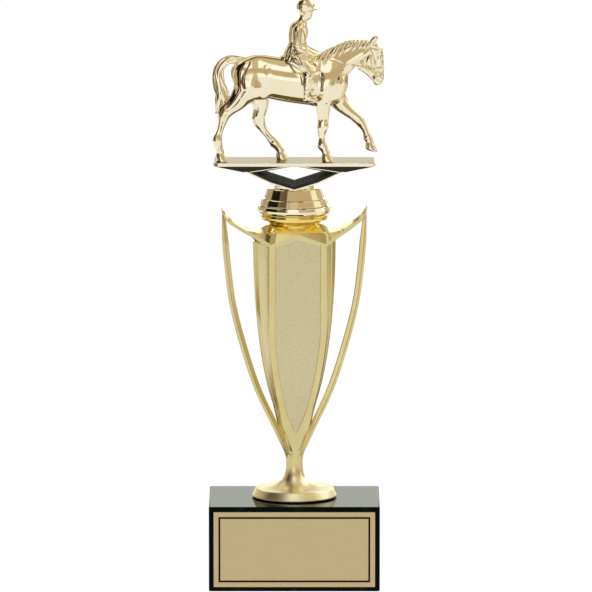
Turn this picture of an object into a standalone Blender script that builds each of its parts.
"""Horse trophy: a marble block with a blank plate, a gold riser with two wing handles, and a horse with its rider.

Units are metres, +Z is up, the viewer stands at -Y and the horse walks towards +X.
The origin is the middle of the marble block's underside.
"""

import math

import bpy
import bmesh
from mathutils import Matrix, Vector

MM = 0.001
CLEARANCE = 0.3 * MM
ROUNDING = 0.5 * MM
OVERLAP = 1 * MM

# Marble block
BASE_WIDTH = 92 * MM
BASE_DEPTH = 70 * MM
BASE_HEIGHT = 46 * MM
BASE_EDGE = 0.8 * MM

# Engraving plate on the block's front face
PLATE_MARGIN = 2.6 * MM
PLATE_THICKNESS = 0.8 * MM

# Riser: heights are above the riser's own underside
RISER_HEIGHT = 154.4 * MM
RISER_TURN = math.radians(7)
FOOT_RADIUS = 22.9 * MM
FOOT_RIM = 4.4 * MM
FOOT_LIP = 2.2 * MM
FOOT_BEVEL = 1.6 * MM
STEM_RADIUS = 4.3 * MM
STEM_WAIST = 19.6 * MM
STEM_TOP = 23 * MM
COLLAR_RADIUS = 17.8 * MM
COLLAR_HEIGHT = 3.4 * MM
COLLAR_EDGE = 0.6 * MM
NECK_RADIUS = 13.6 * MM
NECK_HEIGHT = 2.5 * MM

# Riser body, from the lid down
LID_FOOT = 15.7 * MM
LID_TOP = 11.2 * MM
LID_HEIGHT = 3 * MM
LID_SEAT = RISER_HEIGHT - COLLAR_HEIGHT - NECK_HEIGHT - LID_HEIGHT
GABLE_RISE = 5.4 * MM
GABLE_GAP = 0.6 * MM
BODY_SHOULDER = LID_SEAT - GABLE_GAP - GABLE_RISE
BODY_WIDTH = 44.4 * MM
BODY_DEPTH = 34 * MM
BODY_ROOT = 35.5 * MM
BODY_FOOT = 34 * MM
BODY_JOIN = 50 * MM
BODY_TAPER = 0.235
PANEL_WIDTH = 30.8 * MM
PANEL_SHARE = 0.8
PANEL_BORDER = 3 * MM
PANEL_RECESS = 0.5 * MM
RIB_WIDTH = 4.4 * MM

# Riser wings and handles: the wing's sections are in 185ths of the tip's rise above the shoulder
TIP_REACH = 39.4 * MM
TIP_RISE = 18.5 * MM
WING_UNIT = TIP_RISE / 185
WING_EDGE = 0.8 * MM
WING_INSET = 0.1 * MM
HANDLE_WIDTH = 3.4 * MM
HANDLE_DEPTH = 3.8 * MM

# Figure plate, bracket and lug: heights are measured down from the plate's top
FIGURE_PLATE_LENGTH = 87 * MM
FIGURE_PLATE_DEPTH = 29 * MM
FIGURE_PLATE_EDGE = 1.9 * MM
FIGURE_PLATE_CORNER = 3 * MM
BRACKET_DROP = 15 * MM
BRACKET_REACH = 25 * MM
BRACKET_SHOULDER = 5.4 * MM
BRACKET_WALL = 2.6 * MM
LUG_HEIGHT = 13.8 * MM
LUG_OVERHANG = 2 * MM
LUG_RADIUS = COLLAR_RADIUS + LUG_OVERHANG
LUG_NECK = 11 * MM
LUG_SHOULDER = 2.6 * MM
LUG_STEP = 1.1 * MM
LUG_EDGE = 0.7 * MM
LUG_SINK = 0.2 * MM
FIGURE_RISE = BRACKET_DROP + LUG_HEIGHT - LUG_SINK

# Horse and rider: every point is in 88ths of the height from the plate to the helmet's top
FIGURE_HEIGHT = 88 * MM
UNIT = FIGURE_HEIGHT / 88
HOOF_SINK = 0.9
HOOF_TOE = 0.9
FIGURE_GRID = 0.5
FIGURE_KEEP = 0.041

# Heights in the whole trophy
RISER_Z = BASE_HEIGHT + CLEARANCE
FIGURE_LUG_Z = RISER_Z + RISER_HEIGHT + CLEARANCE
FIGURE_Z = FIGURE_LUG_Z + FIGURE_RISE


def clear_scene():
    for old in list(bpy.data.objects):
        bpy.data.objects.remove(old, do_unlink=True)


def new_collection(name):
    group = bpy.data.collections.new(name)
    bpy.context.scene.collection.children.link(group)
    return group


def new_material(name, colour, roughness, metallic):
    material = bpy.data.materials.new(name)
    material.use_nodes = True
    shader = material.node_tree.nodes["Principled BSDF"]
    shader.inputs["Base Color"].default_value = (*colour, 1)
    shader.inputs["Roughness"].default_value = roughness
    shader.inputs["Metallic"].default_value = metallic
    return material


def new_object(name, mesh, group, material=None):
    piece = bpy.data.objects.new(name, mesh)
    group.objects.link(piece)
    if material:
        mesh.materials.clear()
        mesh.materials.append(material)
    return piece


def mesh_from(form, name):
    bmesh.ops.recalc_face_normals(form, faces=form.faces)
    mesh = bpy.data.meshes.new(name)
    form.to_mesh(mesh)
    form.free()
    return mesh


def as_cutter(piece):
    piece.hide_render = True
    piece.display_type = "WIRE"
    return piece


def boolean(piece, other, operation):
    cut = piece.modifiers.new(operation.lower() + "_" + other.name, "BOOLEAN")
    cut.operation = operation
    cut.solver = "EXACT"
    cut.object = other


def bevel(piece, width, segments=2):
    edge = piece.modifiers.new("edges", "BEVEL")
    edge.width = width
    edge.segments = segments
    edge.limit_method = "ANGLE"
    edge.angle_limit = math.radians(40)


def box_mesh(name, size, centre):
    form = bmesh.new()
    bmesh.ops.create_cube(form, size=1, matrix=Matrix.Translation(centre) @ Matrix.Diagonal((*size, 1)))
    return mesh_from(form, name)


def curve_to_mesh(curve_object, name):
    """The filled curve as a mesh with its caps welded on; the curve itself is removed."""
    bpy.context.view_layer.update()
    evaluated = curve_object.evaluated_get(bpy.context.evaluated_depsgraph_get())
    mesh = bpy.data.meshes.new_from_object(evaluated)
    form = bmesh.new()
    form.from_mesh(mesh)
    bmesh.ops.transform(form, matrix=curve_object.matrix_world, verts=form.verts)
    bmesh.ops.remove_doubles(form, verts=form.verts, dist=0.01 * MM)
    bpy.data.objects.remove(curve_object, do_unlink=True)
    return mesh_from(form, name)


def turned(name, profile, group, steps):
    """A solid of revolution about Z; the profile runs top to bottom at +X, from the axis back to the axis."""
    mesh = bpy.data.meshes.new(name)
    points = [(radius, 0, height) for radius, height in profile]
    mesh.from_pydata(points, [(i, i + 1) for i in range(len(points) - 1)], [])
    piece = new_object(name, mesh, group)
    screw = piece.modifiers.new("turn", "SCREW")
    screw.steps = steps
    screw.render_steps = steps
    screw.use_merge_vertices = True
    screw.merge_threshold = 0.01 * MM
    return piece


def loft(name, rings):
    """Skin through rings with equal numbers of points, closed by one face at each end."""
    form = bmesh.new()
    rows = [[form.verts.new(point) for point in ring] for ring in rings]
    for low, high in zip(rows, rows[1:]):
        for i in range(len(low)):
            j = (i + 1) % len(low)
            form.faces.new((low[i], low[j], high[j], high[i]))
    form.faces.new(rows[0])
    form.faces.new(rows[-1])
    return mesh_from(form, name)


def smooth_line(points, steps):
    """Catmull-Rom line through the points, with the given number of steps in each span."""
    line = []
    padded = [points[0]] + list(points) + [points[-1]]
    for a, b, c, d in zip(padded, padded[1:], padded[2:], padded[3:]):
        for i in range(steps):
            t = i / steps
            line.append(tuple(
                0.5 * (2 * q + (r - p) * t + (2 * p - 5 * q + 4 * r - s) * t * t + (3 * q - p - 3 * r + s) * t ** 3)
                for p, q, r, s in zip(a, b, c, d)))
    line.append(tuple(points[-1]))
    return line


# Marble block and engraving plate

def build_base(group):
    material = new_material("green_marble", (0.012, 0.028, 0.018), 0.12, 0)
    mesh = box_mesh("marble_base", (BASE_WIDTH, BASE_DEPTH, BASE_HEIGHT), (0, 0, BASE_HEIGHT / 2))
    base = new_object("marble_base", mesh, group, material)
    bevel(base, BASE_EDGE)


def build_engraving_plate(group):
    material = new_material("satin_plate", (0.54, 0.41, 0.22), 0.4, 0.3)
    width = BASE_WIDTH - 2 * PLATE_MARGIN
    height = BASE_HEIGHT - 2 * PLATE_MARGIN
    middle = -BASE_DEPTH / 2 - CLEARANCE - PLATE_THICKNESS / 2
    mesh = box_mesh("engraving_plate", (width, PLATE_THICKNESS, height), (0, middle, BASE_HEIGHT / 2))
    plate = new_object("engraving_plate", mesh, group, material)
    bevel(plate, PLATE_THICKNESS / 4, segments=1)


# Riser

def body_half_width(height):
    """Quarter ellipse from the shoulder down, which runs out into a straight taper onto the stem."""
    fall = max(0, BODY_SHOULDER - height) / (BODY_SHOULDER - BODY_ROOT)
    taper = STEM_RADIUS + BODY_TAPER * (min(height, BODY_JOIN) - STEM_WAIST)
    return max(taper, BODY_WIDTH / 2 * math.sqrt(max(0, 1 - fall * fall)))


def body_section(height, gable=0.0, recess=0.0):
    """One ring of the body: front panel, facet, groove and rib on the right, mirrored to the back and left."""
    half = body_half_width(height)
    depth = max(STEM_RADIUS, half * BODY_DEPTH / BODY_WIDTH)
    panel = min(PANEL_WIDTH / 2, PANEL_SHARE * half)
    field = max(0.12 * panel, panel - PANEL_BORDER)
    rib = RIB_WIDTH / 2 * half / (BODY_WIDTH / 2)
    corner = [
        (0, -depth + recess),
        (field - 0.5 * recess, -depth + recess),
        (field, -depth),
        (panel, -depth),
        (panel + 0.42 * (half - panel), -0.66 * depth),
        (panel + 0.66 * (half - panel), -2.2 * rib),
        (half, -rib),
    ]
    right = corner + [(x, -y) for x, y in reversed(corner)]
    ring = right + [(-x, y) for x, y in reversed(right[1:-1])]
    return [(x, y, height + gable * (1 - min(1, abs(x) / (PANEL_WIDTH / 2)))) for x, y in ring]


def lid_section(ring):
    """The top ring drawn in to the lid's square foot, at one level."""
    drawn = []
    for x, y, _ in ring:
        reach = LID_FOOT / max(abs(x), abs(y), 1e-6)
        drawn.append((x * min(1, reach), y * min(1, reach), LID_SEAT))
    return drawn


def riser_body_mesh():
    """The field of each panel is sunk between its border; the upper rings rise in the middle as a gable."""
    levels = 14
    field_top = BODY_SHOULDER - PANEL_BORDER
    start = STEM_WAIST - OVERLAP
    rings = [body_section(start), body_section((start + BODY_FOOT) / 2)]
    for i in range(levels + 1):
        height = BODY_FOOT + (field_top - BODY_FOOT) * i / levels
        rise = GABLE_RISE * max(0, 1 - (levels - i) / 3)
        sunk = PANEL_RECESS * min(1, i)
        rings.append(body_section(height, rise, sunk))
    rings.append(body_section(field_top + 0.3 * PANEL_RECESS, GABLE_RISE))
    rings.append(body_section(BODY_SHOULDER, GABLE_RISE))
    rings.append(lid_section(rings[-1]))
    return loft("riser_body", rings)


def wing_mesh(side):
    """A wing: a thin roof from the body's front and back corners out to the handle's tip."""
    corner = PANEL_WIDTH / 2
    depth = BODY_DEPTH / 2
    reach = TIP_REACH - corner
    # Share of the way out to the tip; heights of the ridge, outer edge, lower edge and underside
    stations = [
        (1, 185, 179, 167, 166),
        (0.9, 148, 134, 114, 119),
        (0.7, 108, 100, 80, 85),
        (0.5, 80, 73, 52, 57),
        (0.33, 65, 54, 32, 25),
        (0.15, 67, 30, 6, -23),
        (0, 86, 11, -13, -34),
        (-0.2, 97, 15, -18, -33),
    ]
    rings = []
    for share, *heights in stations:
        x = side * (corner + share * reach)
        half = (depth - WING_INSET) * (1 - share) + WING_EDGE * share if share >= 0 else depth * (1 + share)
        half = max(half, WING_EDGE)
        ridge, top, bottom, under = (BODY_SHOULDER + height * WING_UNIT for height in heights)
        rings.append([
            (x, 0, ridge), (x, -half, top), (x, -half, bottom), (x, 0, under), (x, half, bottom), (x, half, top)])
    return loft("wing", rings)


def handle_mesh(side):
    """The bar that sweeps from the tip down to the stem, with a ridged face."""
    reach = TIP_REACH - HANDLE_WIDTH / 4
    rise = BODY_SHOULDER + TIP_RISE
    # Shares of the tip's reach and of its height
    route = [(1, 0.99), (0.97, 0.88), (0.93, 0.7785), (0.87, 0.671), (0.735, 0.538), (0.525, 0.38), (0.26, 0.2405),
             (0.1, 0.158), (0.05, 0.1265)]
    line = smooth_line([(side * out * reach, up * rise) for out, up in route], 3)
    rings = []
    for i, (x, z) in enumerate(line):
        before = line[max(0, i - 1)]
        after = line[min(len(line) - 1, i + 1)]
        along = Vector((after[0] - before[0], 0, after[1] - before[1])).normalized()
        across = along.cross(Vector((0, 1, 0)))
        slim = 1 if i > 2 else 0.35 + 0.65 * i / 3
        wide = across * HANDLE_WIDTH / 2 * slim
        deep = Vector((0, HANDLE_DEPTH / 2 * slim, 0))
        middle = Vector((x, 0, z))
        rings.append([middle + wide * a + deep * b for a, b in
                      ((1, -0.6), (0.2, -1), (-1, -0.6), (-1, 0.6), (0.2, 1), (1, 0.6))])
    return loft("handle", rings)


def foot_profile():
    """Dished foot and stem, from the stem's buried top down to the underside."""
    edge = FOOT_RADIUS
    low = edge - STEM_RADIUS
    rise = STEM_WAIST - FOOT_RIM
    profile = [(0, STEM_TOP), (STEM_RADIUS * 0.95, STEM_TOP)]
    for i in range(9):
        share = i / 8
        height = FOOT_RIM + rise * (1 - share) ** 1.9 + ROUNDING
        profile.append((STEM_RADIUS + (low - FOOT_LIP) * share ** 2.6, height))
    profile += [(edge - FOOT_BEVEL, FOOT_RIM), (edge, ROUNDING), (edge - ROUNDING, 0), (0, 0)]
    return profile


def neck_profile():
    """Collar that carries the figure's lug, and the neck below it, down into the lid."""
    under = RISER_HEIGHT - COLLAR_HEIGHT
    edge = COLLAR_EDGE
    return [
        (0, RISER_HEIGHT), (COLLAR_RADIUS - edge, RISER_HEIGHT), (COLLAR_RADIUS, RISER_HEIGHT - edge),
        (COLLAR_RADIUS, under + 0.4 * COLLAR_HEIGHT), (COLLAR_RADIUS - 2 * edge, under + edge / 3),
        (NECK_RADIUS + 1.3 * edge, under - 1.3 * edge), (NECK_RADIUS, under - 0.8 * NECK_HEIGHT),
        (NECK_RADIUS, LID_SEAT - OVERLAP), (0, LID_SEAT - OVERLAP)]


def build_riser(group, cutters):
    material = new_material("riser_gold", (0.72, 0.53, 0.17), 0.14, 1)
    riser = new_object("riser", riser_body_mesh(), group, material)
    lid = bmesh.new()
    bmesh.ops.create_cone(
        lid, cap_ends=True, segments=4, radius1=LID_FOOT * math.sqrt(2), radius2=LID_TOP * math.sqrt(2),
        depth=LID_HEIGHT + OVERLAP,
        matrix=Matrix.Translation((0, 0, LID_SEAT + (LID_HEIGHT - OVERLAP) / 2)) @ Matrix.Rotation(math.pi / 4, 4, "Z"))
    joined = [
        new_object("riser_lid", mesh_from(lid, "riser_lid"), cutters),
        turned("riser_neck", neck_profile(), cutters, 32),
        turned("riser_foot", foot_profile(), cutters, 32)]
    for side, label in ((-1, "left"), (1, "right")):
        joined.append(new_object("wing_" + label, wing_mesh(side), cutters))
        joined.append(new_object("handle_" + label, handle_mesh(side), cutters))
    for piece in joined:
        as_cutter(piece)
        piece.location.z = RISER_Z
        piece.rotation_euler.z = RISER_TURN
        boolean(riser, piece, "UNION")
    riser.location.z = RISER_Z
    riser.rotation_euler.z = RISER_TURN


# Figure plate, bracket and lug

def bracket_mesh():
    """Front outline of the plate with its shallow V underside, drawn out to the plate's depth."""
    half = FIGURE_PLATE_LENGTH / 2
    edge = FIGURE_PLATE_EDGE
    belly = BRACKET_SHOULDER + 0.6 * (BRACKET_DROP - BRACKET_SHOULDER)
    outline = [
        (-half, 0), (half, 0), (half, -edge), (BRACKET_REACH, -BRACKET_SHOULDER),
        (BRACKET_REACH / 2, -belly), (0, -BRACKET_DROP), (-BRACKET_REACH / 2, -belly),
        (-BRACKET_REACH, -BRACKET_SHOULDER), (-half, -edge)]
    return extruded("bracket", outline, FIGURE_PLATE_DEPTH / 2)


def opening_outline():
    """The diamond that the bracket leaves open under the plate."""
    reach = BRACKET_REACH - 1.3 * BRACKET_WALL
    top = 0.84 * FIGURE_PLATE_EDGE
    return [(0, -top), (reach, -BRACKET_SHOULDER), (0, -BRACKET_DROP + BRACKET_WALL), (-reach, -BRACKET_SHOULDER)]


def extruded(name, outline, half_depth):
    """A filled flat curve in the XZ plane, drawn out both ways along Y."""
    curve = bpy.data.curves.new(name, "CURVE")
    curve.dimensions = "2D"
    curve.fill_mode = "BOTH"
    curve.extrude = half_depth
    line = curve.splines.new("POLY")
    line.points.add(len(outline) - 1)
    for point, (x, z) in zip(line.points, outline):
        point.co = (x, z, 0, 1)
    line.use_cyclic_u = True
    flat = bpy.data.objects.new(name, curve)
    bpy.context.scene.collection.objects.link(flat)
    flat.rotation_euler.x = math.pi / 2
    return curve_to_mesh(flat, name)


def plate_corner_mesh():
    """Rounded rectangle that trims the plate's corners, seen from above."""
    form = bmesh.new()
    size = (FIGURE_PLATE_LENGTH, FIGURE_PLATE_DEPTH, 4 * BRACKET_DROP)
    bmesh.ops.create_cube(form, size=1, matrix=Matrix.Diagonal((*size, 1)))
    upright = [edge for edge in form.edges if abs(edge.verts[0].co.z - edge.verts[1].co.z) > MM]
    bmesh.ops.bevel(form, geom=upright, offset=FIGURE_PLATE_CORNER, segments=4, profile=0.5, affect="EDGES")
    return mesh_from(form, "plate_corners")


def lug_profile():
    """Three stacked conical rings under a short neck, from the bracket down to the collar."""
    bottom = -FIGURE_RISE
    top = bottom + LUG_HEIGHT
    ring = LUG_HEIGHT / 3
    profile = [(0, -BRACKET_DROP + BRACKET_WALL / 2), (LUG_NECK, -BRACKET_DROP + BRACKET_WALL / 2)]
    profile += [(LUG_NECK, top), (LUG_NECK + LUG_SHOULDER, top - ROUNDING)]
    for i, inset in enumerate((3.1 * LUG_STEP, 1.4 * LUG_STEP)):
        foot = top - ring * (i + 1)
        profile.append((LUG_RADIUS - inset, foot + LUG_EDGE))
        profile.append((LUG_RADIUS - inset - LUG_STEP, foot))
    profile += [(LUG_RADIUS, bottom + 2 * LUG_STEP), (COLLAR_RADIUS, bottom), (0, bottom)]
    return profile


# Horse and rider

def add_hull(form, cloud):
    """Adds the hull of another bmesh's points to the form, without the points left inside it."""
    made = bmesh.ops.convex_hull(cloud, input=cloud.verts)
    inside = {g for g in made["geom_interior"] + made["geom_unused"] if isinstance(g, bmesh.types.BMVert)}
    bmesh.ops.delete(cloud, geom=list(inside), context="VERTS")
    mesh = bpy.data.meshes.new("hull")
    cloud.to_mesh(mesh)
    cloud.free()
    form.from_mesh(mesh)
    bpy.data.meshes.remove(mesh)


def add_link(form, a, b, flat):
    """Hull of two balls, each squeezed sideways by the flat factor; a and b are x, y, z and radius."""
    cloud = bmesh.new()
    for x, y, z, radius in (a, b):
        place = Matrix.Translation(Vector((x, y, z)) * UNIT)
        size = Matrix.Diagonal((radius * UNIT, radius * flat * UNIT, radius * UNIT, 1))
        bmesh.ops.create_icosphere(cloud, subdivisions=3 if radius > 4 else 2, radius=1, matrix=place @ size)
    add_hull(form, cloud)


def add_chain(form, points, flat=1.0):
    for a, b in zip(points, points[1:]):
        add_link(form, a, b, flat)


def at_side(y, points):
    """Points given as x, z and radius, placed at one distance from the middle plane."""
    return [(x, y, z, radius) for x, z, radius in points]


def add_hoof(form, x, y):
    """A standing hoof that widens down to its flat sole, which lies ahead of the pastern."""
    cloud = bmesh.new()
    for radius, ahead, height in ((2.3, 0, 3.4), (3.2, HOOF_TOE, 0.3), (3.2, HOOF_TOE, -HOOF_SINK)):
        centre = Vector((x + ahead, y, height)) * UNIT
        stretch = Matrix.Diagonal((1.12, 0.92, 1, 1))
        bmesh.ops.create_circle(
            cloud, cap_ends=True, segments=14, radius=radius * UNIT, matrix=Matrix.Translation(centre) @ stretch)
    add_hull(form, cloud)


def add_trunk(form):
    add_chain(form, at_side(0, [(-24.5, 47, 8.9), (-19.5, 46.4, 10.8), (-12, 44.9, 11.5), (-4, 43.5, 11.8)]), 0.8)
    add_chain(form, at_side(0, [(-4, 43.5, 11.8), (4, 42.8, 12.3), (10.5, 42.6, 12.8), (15.7, 42, 11.7)]), 0.76)
    for side in (-1, 1):
        add_chain(form, at_side(side * 4.6, [(-25.2, 46.5, 7.6), (-24.5, 40.5, 6.9)]))
        add_chain(form, at_side(side * 5, [(19, 46, 6.4), (15, 38.5, 6.2)]))


def add_legs(form):
    add_chain(form, at_side(-4.8, [(-24.5, 40.5, 6.9), (-30.5, 32.3, 5), (-35.6, 27.6, 3.9), (-38.8, 25.6, 3.4),
                                   (-39.7, 18.8, 2.3), (-40.8, 14.6, 2.3), (-41.5, 11.2, 2.8), (-39.4, 5, 2.5)]))
    add_hoof(form, -39.4, -4.8)
    add_chain(form, at_side(4.6, [(-24.5, 40.5, 6.9), (-19, 33, 5.2), (-18, 27.5, 4.1), (-18.2, 21.4, 3.3),
                                  (-16, 15.8, 2.4), (-12.6, 11, 2.3), (-9.9, 8.2, 2.7), (-7.3, 4.8, 2.4)]))
    add_hoof(form, -7.2, 4.6)
    add_chain(form, at_side(-4.8, [(15, 38.5, 6.2), (15.3, 31, 4.1), (15.4, 25, 3.5), (15, 18.2, 3.1),
                                   (14.7, 14, 2.2), (14.8, 11.2, 2.1), (15.2, 7.9, 2.8), (17.1, 4.8, 2.4)]))
    add_hoof(form, 17.2, -4.8)
    add_chain(form, at_side(4.8, [(19, 41, 6.8), (23.3, 30.6, 4.5), (27.8, 26.4, 3.4), (33.6, 22.2, 2.8),
                                  (36.5, 18.8, 2.4), (38.2, 15.4, 2.3), (39.7, 12.3, 2.4), (40.9, 9, 2.6)]))
    add_chain(form, at_side(4.8, [(40.9, 9, 2.6), (41.6, 6.8, 2.8), (42.4, 6.2, 2.6)]))


def add_neck_and_head(form):
    add_chain(form, at_side(0, [(14, 46, 10.5), (19.3, 50.4, 9.3)]), 0.7)
    add_chain(form, at_side(0, [(19.3, 50.4, 9.3), (24.7, 54.6, 7.9), (30.6, 58.6, 6.6), (35, 60, 5.2)]), 0.6)
    add_chain(form, at_side(0, [(36, 60.2, 4.8), (42.7, 58.6, 5.4), (42.4, 54, 5.7), (45, 47, 3.6),
                                (45.5, 44.2, 3.2)]), 0.62)
    for side in (-1, 1):
        add_chain(form, [(43, side * 1.7, 63.4, 1.4), (44.6, side * 2.1, 67.2, 0.6)])


def add_mane(form):
    """Locks that fall from the crest over both sides of the neck."""
    crest = smooth_line([(15.5, 57.1), (20.6, 59.6), (27.1, 62.9), (33.5, 64.2), (39.5, 63.7)], 2)
    for side in (-1, 1):
        for i, (x, z) in enumerate(crest):
            out = side * (4 - 0.12 * i)
            add_chain(form, [(x, side * 0.9, z, 1.2), (x - 1, out, z - 3.4, 1.2), (x - 3, out + side * 0.7, z - 6.4, 0.6)])


def add_tail(form):
    add_chain(form, at_side(0, [(-27, 53.2, 2.6), (-30.5, 53.8, 2.4), (-35, 54, 2.3), (-39.2, 51.9, 2.7),
                                (-41, 48.2, 3), (-40.6, 43.9, 3.4), (-39.7, 38.4, 3.9), (-40, 33, 3.7),
                                (-41, 29, 2.7), (-42.4, 26.4, 1.3)]), 0.85)


def add_rider(form):
    add_chain(form, at_side(0, [(2.6, 70.3, 5.2), (2.3, 63.5, 4.9), (2.4, 58.5, 6)]), 1.15)
    add_link(form, (0.5, 0, 56.6, 6), (5.6, 0, 56.4, 5.2), 1.35)
    add_chain(form, at_side(0, [(3.9, 74, 3), (5.2, 77.5, 2.5)]))
    add_chain(form, at_side(0, [(6.2, 81.2, 3.9), (6.9, 79.6, 3.4)]), 0.86)
    add_link(form, (5.6, 0, 83.4, 4.5), (6.8, 0, 83.2, 4.3), 0.9)
    add_link(form, (8.4, 0, 82.4, 2.2), (11.5, 0, 82.3, 1.1), 1.4)
    for side in (-1, 1):
        add_chain(form, [(2.2, side * 5.4, 71, 2.9), (1.6, side * 7.2, 66, 2.5), (2.2, side * 7.8, 61.6, 2.4),
                         (8, side * 5.6, 58.6, 2), (13, side * 2.4, 56.8, 1.8)])
        add_chain(form, [(-0.5, side * 4.5, 55, 4.4), (9.3, side * 9.6, 49.8, 3.2), (8, side * 10.6, 44, 2.8),
                         (7, side * 10.8, 36.6, 2.1)])
        add_chain(form, [(5.8, side * 10.8, 34.6, 1.6), (10.6, side * 11, 34.2, 1.5)])
    add_link(form, (-3.6, 0, 55.2, 3), (11, 0, 55.4, 2.4), 2.2)


def figure_object(cutters):
    form = bmesh.new()
    for add in (add_trunk, add_legs, add_neck_and_head, add_mane, add_tail, add_rider):
        add(form)
    mesh = bpy.data.meshes.new("horse_form")
    form.to_mesh(mesh)
    form.free()
    figure = as_cutter(new_object("horse_form", mesh, cutters))
    weld = figure.modifiers.new("cast", "REMESH")
    weld.mode = "VOXEL"
    weld.voxel_size = FIGURE_GRID * UNIT
    soften = figure.modifiers.new("soften", "SMOOTH")
    soften.factor = 0.5
    soften.iterations = 3
    thin = figure.modifiers.new("facets", "DECIMATE")
    thin.ratio = FIGURE_KEEP
    return figure


def build_figure(group, cutters):
    material = new_material("figure_gold", (0.72, 0.6, 0.38), 0.12, 1)
    cast = new_object("horse_and_rider", bracket_mesh(), group, material)
    corners = new_object("plate_corners", plate_corner_mesh(), cutters)
    opening = new_object("diamond_opening", extruded("opening", opening_outline(), FIGURE_PLATE_DEPTH), cutters)
    lug = turned("lug", lug_profile(), cutters, 36)
    horse = figure_object(cutters)
    for piece, operation in ((corners, "INTERSECT"), (opening, "DIFFERENCE"), (lug, "UNION"), (horse, "UNION")):
        as_cutter(piece)
        piece.location.z = FIGURE_Z
        boolean(cast, piece, operation)
    cast.location.z = FIGURE_Z


def main():
    clear_scene()
    group = new_collection("horse_trophy")
    cutters = new_collection("horse_trophy_cutters")
    build_base(group)
    build_engraving_plate(group)
    build_riser(group, cutters)
    build_figure(group, cutters)


main()
